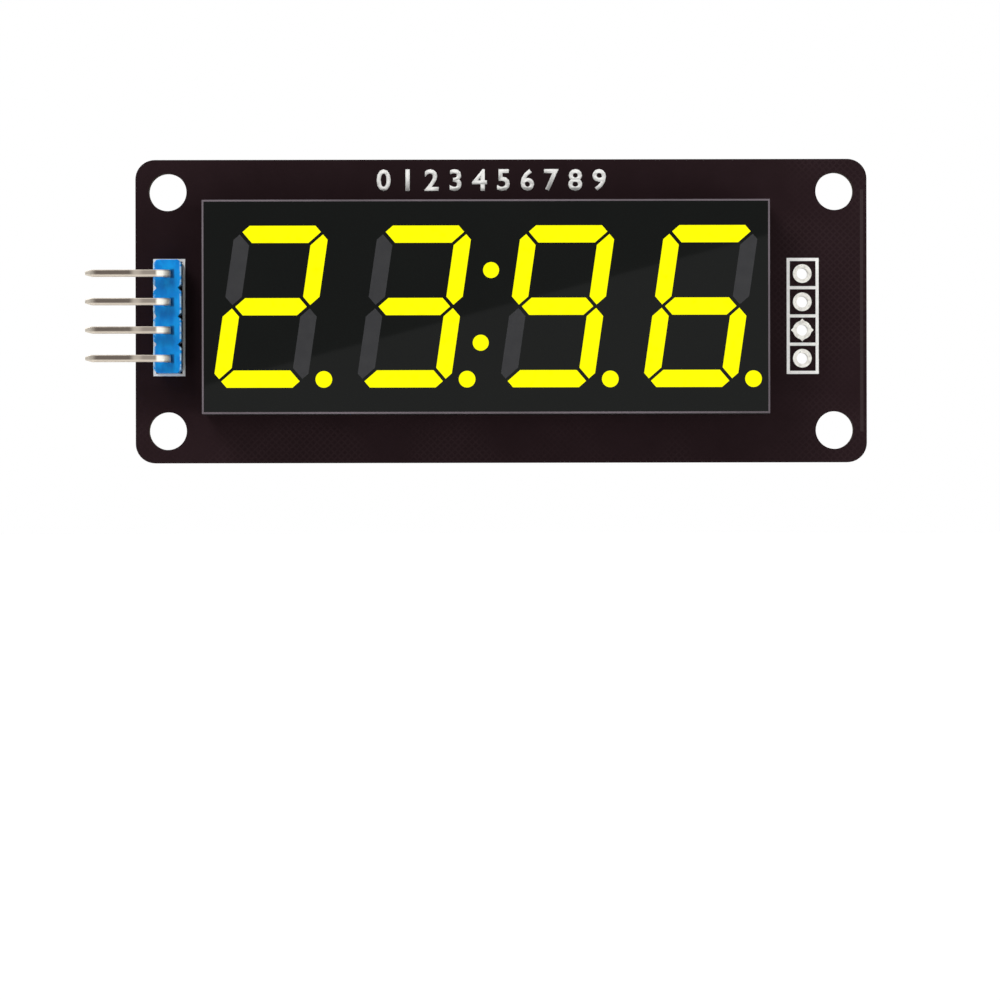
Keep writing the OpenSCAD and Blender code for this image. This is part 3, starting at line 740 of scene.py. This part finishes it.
def pin_height(row):
    """Height of a header pin or spare hole on the board, counted from the top."""
    return HEADER[1] - centred(row, HEADER_PINS, PIN_PITCH)


def numeral_row(count, height, middle, width):
    """Plain numerals from 0 in one row."""
    return [
        (str(n), height, (middle[0] + centred(n, count, width / (count - 1)), middle[1]))
        for n in range(count)
    ]


def as_seen_from_behind(node):
    place = middle_and_size(node)[0]
    return -place[0], place[2]


# Moulded and drawn pieces with their edges rounded

softened("header_body", "header_moulding", 0.07, "header")
softened("driver_chip_body", "driver_chip_moulding", 0.06, "epoxy")
softened("driver_chip_leads", "driver_chip_bent_leads", 0.03, "lead")
for pin in range(1, HEADER_PINS + 1):
    softened(f"header_pin_{pin}", f"header_drawn_pin_{pin}", 0.05, "pin")
for part in CHIP_PARTS:
    softened(part, f"{part}_fired", 0.03, NODE_FINISHES[part])


# Front print: box round the header, divided box round the spare holes, a row of numerals

WHITE_INK = FINISHES["ink"]
HEADER_LINE = 0.24
HEADER_BOX = ((HEADER[0] + 0.035, HEADER[1] - 0.055), (2.87, 10.55))
SPARE_LINE = 0.28
SPARE_BOX = ((SPARE_X + 0.04, HEADER[1]), (2.88, HEADER_PINS * PIN_PITCH + SPARE_LINE))
SPARE_CELL = (SPARE_BOX[1][0] - 2 * SPARE_LINE, PIN_PITCH - SPARE_LINE)
TOP_ROW, TOP_ROW_WIDTH = 11.8, 19.4
front_words = numeral_row(10, 1.95, (-0.85, TOP_ROW), TOP_ROW_WIDTH)
front_lines = [
    box_loop(*HEADER_BOX),
    box_loop(HEADER_BOX[0], [side - 2 * HEADER_LINE for side in HEADER_BOX[1]]),
    box_loop(*SPARE_BOX),
]
for row in range(HEADER_PINS):
    front_lines.append(box_loop((SPARE_BOX[0][0], pin_height(row)), SPARE_CELL))
printed("front_print", WHITE_INK, True, front_lines, front_words)
EDGE_TRACE_X = BOARD_SIZE[0] / 2 - 0.45
EDGE_TRACE_REACH, EDGE_TRACE_LINE = 10.9, 0.3
edge_trace = stroke_loop(
    [(EDGE_TRACE_X, -EDGE_TRACE_REACH), (EDGE_TRACE_X, EDGE_TRACE_REACH)], EDGE_TRACE_LINE
)
printed("front_edge_trace", FINISHES["front_trace"], True, [edge_trace], thickness=TRACE_THICKNESS)

# Back print, as it is read from behind: U runs to the left of the front

RING_DIAMETER, RING_LINE = 5.03, 0.27
HOLES = [
    (side_u * (BOARD_SIZE[0] / 2 - HOLE_INSET), side_v * (BOARD_SIZE[2] / 2 - HOLE_INSET))
    for side_u in (-1, 1)
    for side_v in (-1, 1)
]
rings = repeated(
    RING_TREE,
    HOLES,
    WHITE_INK,
    diameter=RING_DIAMETER,
    line=RING_LINE,
    thickness=2 * PRINT_THICKNESS,
)
back_words = numeral_row(10, 1.8, (1.15, TOP_ROW), TOP_ROW_WIDTH)
LABEL_HEIGHT, LABEL_GAP = 1.3, 2.1
for row in range(HEADER_PINS):
    back_words.append((str(row + 1), LABEL_HEIGHT, (-SPARE_X + LABEL_GAP, pin_height(row))))
    back_words.append((str(row + 1), LABEL_HEIGHT, (-HEADER[0] - LABEL_GAP, pin_height(row))))
LEGEND_ROWS = 5
LEGEND_U, LEGEND_TOP, LEGEND_PITCH, LEGEND_SIDE = -18.55, 2.64, 1.5, 1.1
LEGEND_HEIGHT, LEGEND_GAP = 0.95, 2.0
for row in range(LEGEND_ROWS):
    label_place = (LEGEND_U + LEGEND_GAP, LEGEND_TOP - row * LEGEND_PITCH)
    back_words.append((str(row + 1), LEGEND_HEIGHT, label_place))
LAMP_SIGN = ("+", 1.1, (18.6, 5.1))
back_words.append(LAMP_SIGN)

# Outline of the driver chip, open and hooked inward at its first lead's end
outline_left, outline_right = -DRIVER[0] - 6.8, -DRIVER[0] + 6.55
outline_low, outline_high = DRIVER[1] - 4.06, DRIVER[1] + 3.9
hook, gap_low, gap_high = 0.42, DRIVER[1] - 1.1, DRIVER[1] + 0.62
OUTLINE_LINE = 0.2
back_lines = [
    stroke_loop(
        [
            (outline_left + hook, gap_high),
            (outline_left, gap_high),
            (outline_left, outline_high),
            (outline_right, outline_high),
            (outline_right, outline_low),
            (outline_left, outline_low),
            (outline_left, gap_low),
            (outline_left + hook, gap_low),
        ],
        OUTLINE_LINE,
    )
]

# Brackets at both ends of each chip part
BRACKET_ARM = [(0.68, 1.73), (0.83, 1.6), (0.83, 0.78)]
BRACKET = [(-across, along) for across, along in reversed(BRACKET_ARM)] + BRACKET_ARM
BRACKET_LINE = 0.18
for part in CHIP_PARTS:
    u, v = as_seen_from_behind(part)
    for side in (1, -1):
        bracket = [(u + across, v + side * along) for across, along in BRACKET]
        back_lines.append(stroke_loop(bracket, BRACKET_LINE))
printed("back_print", WHITE_INK, False, back_lines, back_words, more=[rings])
legend = [
    box_loop((LEGEND_U, LEGEND_TOP - row * LEGEND_PITCH), (LEGEND_SIDE, LEGEND_SIDE))
    for row in range(LEGEND_ROWS)
]
printed("legend_grey", FINISHES["grey_ink"], False, legend[:4])
printed("legend_yellow", FINISHES["yellow_ink"], False, legend[4:])

# Traces and the copper's edge, raised under the mask
TRACE_LINE = 0.18
TRACES = [
    [(-7.9, 8.5), (-4.96, 10.65), (3.48, 10.65), (5.83, 8.5)],
    [(-2.2, 9.1), (-1.03, 10.16), (3.48, 10.16), (5.04, 8.7)],
    [(-5.55, 6.7), (-1.62, 6.7)],
]
COPPER_INSET, COPPER_CORNER_R, COPPER_LINE = 0.55, 1.35, 0.12
FIRST_LEAD_MARK = (-5.93, -5.07)
MARK_RADII, MARK_STEPS = (0.33, 0.2), 24
back_traces = [stroke_loop(points, TRACE_LINE) for points in TRACES]
for line in (0, COPPER_LINE):
    size = [side - 2 * (COPPER_INSET + line) for side in (BOARD_SIZE[0], BOARD_SIZE[2])]
    back_traces.append(rounded_loop(size, COPPER_CORNER_R - line))
for radius in MARK_RADII:
    back_traces.append(circle_loop(FIRST_LEAD_MARK, radius, MARK_STEPS))
printed("back_traces", FINISHES["trace"], False, back_traces, thickness=TRACE_THICKNESS)


# Solder


def soldered(name, node, groups):
    """Solder drops in place of a node's plain solder. Each group is its places and its sizes."""
    solder = FINISHES["solder"]
    meshes = [
        on_side(repeated(DROP_TREE, places, solder, **sizes), False) for places, sizes in groups
    ]
    piece = finished(meshes, name, solder, (node,))
    piece.data.shade_smooth()
    return piece


display_columns = [
    -DISPLAY[0] + centred(i, DISPLAY_PINS_PER_ROW, PIN_PITCH) for i in range(DISPLAY_PINS_PER_ROW)
]
display_pins = [
    (u, DISPLAY[1] + side * DISPLAY_PIN_ROW) for u in display_columns for side in (1, -1)
]
header_pins = [(-HEADER[0], pin_height(row)) for row in range(HEADER_PINS)]
mounded = {"rise_power": 1.3, "flank_power": 1.0, "top_share": 0.42}
skirt = {"height": 0.2, "rise_power": 1.0, "flank_power": 1.0, "top_share": 0.3}
soldered(
    "pin_solder_joints",
    "pin_solder",
    [
        (display_pins, {"width": 1.5, "length": 1.5, "height": 0.95, **mounded}),
        (display_pins, {"width": 1.62, "length": 1.62, **skirt}),
        (header_pins, {"width": 1.75, "length": 1.75, "height": 0.95, **mounded}),
        (header_pins, {"width": 1.9, "length": 1.9, **skirt}),
    ],
)
domed = {"rise_power": 2.0, "flank_power": 0.5, "top_share": 0.04}
FOOT_MIDDLE, TOE_MIDDLE = 4.78, 5.5
lead_columns = [-DRIVER[0] + centred(i, LEADS_PER_SIDE, LEAD_PITCH) for i in range(LEADS_PER_SIDE)]
feet = [(u, DRIVER[1] + side * FOOT_MIDDLE) for u in lead_columns for side in (1, -1)]
toes = [(u, DRIVER[1] + side * TOE_MIDDLE) for u in lead_columns for side in (1, -1)]
CHIP_END = 0.86
chip_ends = [
    (u, v + side * CHIP_END) for u, v in map(as_seen_from_behind, CHIP_PARTS) for side in (1, -1)
]
soldered(
    "surface_solder_drops",
    "surface_solder",
    [
        (feet, {"width": 0.68, "length": 1.2, "height": 0.22, **domed}),
        (toes, {"width": 0.82, "length": 1.14, "height": 0.34, **domed}),
        (chip_ends, {"width": 1.0, "length": 0.84, "height": 0.34, **domed}),
    ],
)


# Studio, in metres

WORLD_LIGHT = 0.5
WORLD_SHINE = 0.9
FLOOR_Z = -0.3
FLOOR_REACH = 60
FLOOR_SHADE = 0.82
FLOOR_LIFT = 0.62
SHEEN = 1.6
SHEEN_MIDDLE = (-0.07, -0.9, 0.0103)
SHEEN_SLOPE = 0.266
SHEEN_REACH = 0.9
# Name, place, power and side of each lamp
LAMPS = [
    ("key", (-0.55, -0.75, 0.75), 8.0, 0.5),
    ("fill", (0.8, -0.7, -0.15), 6.5, 0.6),
    ("back_key", (0.5, 0.8, 0.7), 8.0, 0.5),
    ("back_fill", (-0.85, 0.55, 0.2), 4.0, 0.6),
]
CAMERA_PLACE = (-0.00013, -0.5416, -0.017)
CAMERA_ROLL = math.radians(0.1)
CAMERA_LENS, CAMERA_SENSOR = 216, 36

scene = bpy.context.scene
scene.view_settings.view_transform = "Standard"


def staged(name, corners, material):
    """A flat piece of the studio."""
    mesh = bpy.data.meshes.new(name)
    mesh.from_pydata(corners, [], [tuple(range(len(corners)))])
    mesh.materials.append(material)
    piece = bpy.data.objects.new(name, mesh)
    scene.collection.objects.link(piece)
    return piece


def light_world():
    """White surroundings, dimmed on the object and less dimmed in its gloss."""
    world = bpy.data.worlds.new("studio")
    scene.world = world
    world.use_nodes = True
    air = Nodes(world.node_tree)
    seen = air.node("ShaderNodeLightPath", {}, {}, "Is Camera Ray")
    shine = air.node("ShaderNodeLightPath", {}, {}, "Is Glossy Ray")
    strength = WORLD_LIGHT + seen * (1.0 - WORLD_LIGHT) + shine * (WORLD_SHINE - WORLD_LIGHT)
    background = world.node_tree.nodes["Background"]
    background.inputs["Color"].default_value = (1, 1, 1, 1)
    world.node_tree.links.new(strength.socket, background.inputs["Strength"])


def lay_floor():
    """Plain pale floor below the module, lifted to white for the camera alone."""
    material = bpy.data.materials.new("floor_white")
    material.use_nodes = True
    tree = material.node_tree
    shader = tree.nodes["Principled BSDF"]
    shader.inputs["Base Color"].default_value = (FLOOR_SHADE, FLOOR_SHADE, FLOOR_SHADE, 1)
    shader.inputs["Roughness"].default_value = 0.9
    shader.inputs["Specular IOR Level"].default_value = 0.1
    shader.inputs["Emission Color"].default_value = (1, 1, 1, 1)
    lift = Nodes(tree).node("ShaderNodeLightPath", {}, {}, "Is Camera Ray") * FLOOR_LIFT
    tree.links.new(lift.socket, shader.inputs["Emission Strength"])
    corners = box_loop((0, 0), (2 * FLOOR_REACH, 2 * FLOOR_REACH))
    staged("floor", [(x, y, FLOOR_Z) for x, y in corners], material)


def hang_lamps():
    """Square soft lamps that all face the module."""
    for name, place, power, side in LAMPS:
        light = bpy.data.lights.new(name, "AREA")
        light.shape = "SQUARE"
        light.size = side
        light.energy = power
        lamp = bpy.data.objects.new(name, light)
        lamp.location = place
        lamp.rotation_euler = (-Vector(place)).to_track_quat("-Z", "Y").to_euler()
        scene.collection.objects.link(lamp)


def stand_sheen_card():
    """Card behind the camera whose upper edge draws the diagonal sheen on the display's face."""
    material = bpy.data.materials.new("sheen_card")
    material.use_nodes = True
    tree = material.node_tree
    tree.nodes.clear()
    glow = Nodes(tree).node("ShaderNodeEmission", {}, {"Strength": SHEEN})
    tree.links.new(glow.socket, tree.nodes.new("ShaderNodeOutputMaterial").inputs["Surface"])
    x, y, z = SHEEN_MIDDLE
    left, right = z - SHEEN_REACH * SHEEN_SLOPE, z + SHEEN_REACH * SHEEN_SLOPE
    corners = [(x - SHEEN_REACH, y, left), (x + SHEEN_REACH, y, right), (x + SHEEN_REACH, y, left)]
    card = staged("sheen_card", corners, material)
    for ray in ("camera", "diffuse", "transmission", "shadow", "volume_scatter"):
        setattr(card, f"visible_{ray}", False)


def place_camera():
    """Camera square on to the front, from where the photo's front view is seen."""
    view = bpy.data.cameras.new("camera")
    view.lens, view.sensor_width = CAMERA_LENS, CAMERA_SENSOR
    view.clip_start, view.clip_end = 0.01, 50
    camera = bpy.data.objects.new("camera", view)
    camera.location = CAMERA_PLACE
    camera.rotation_euler = (math.pi / 2, CAMERA_ROLL, 0)
    scene.collection.objects.link(camera)
    scene.camera = camera


light_world()
lay_floor()
hang_lamps()
stand_sheen_card()
place_camera()
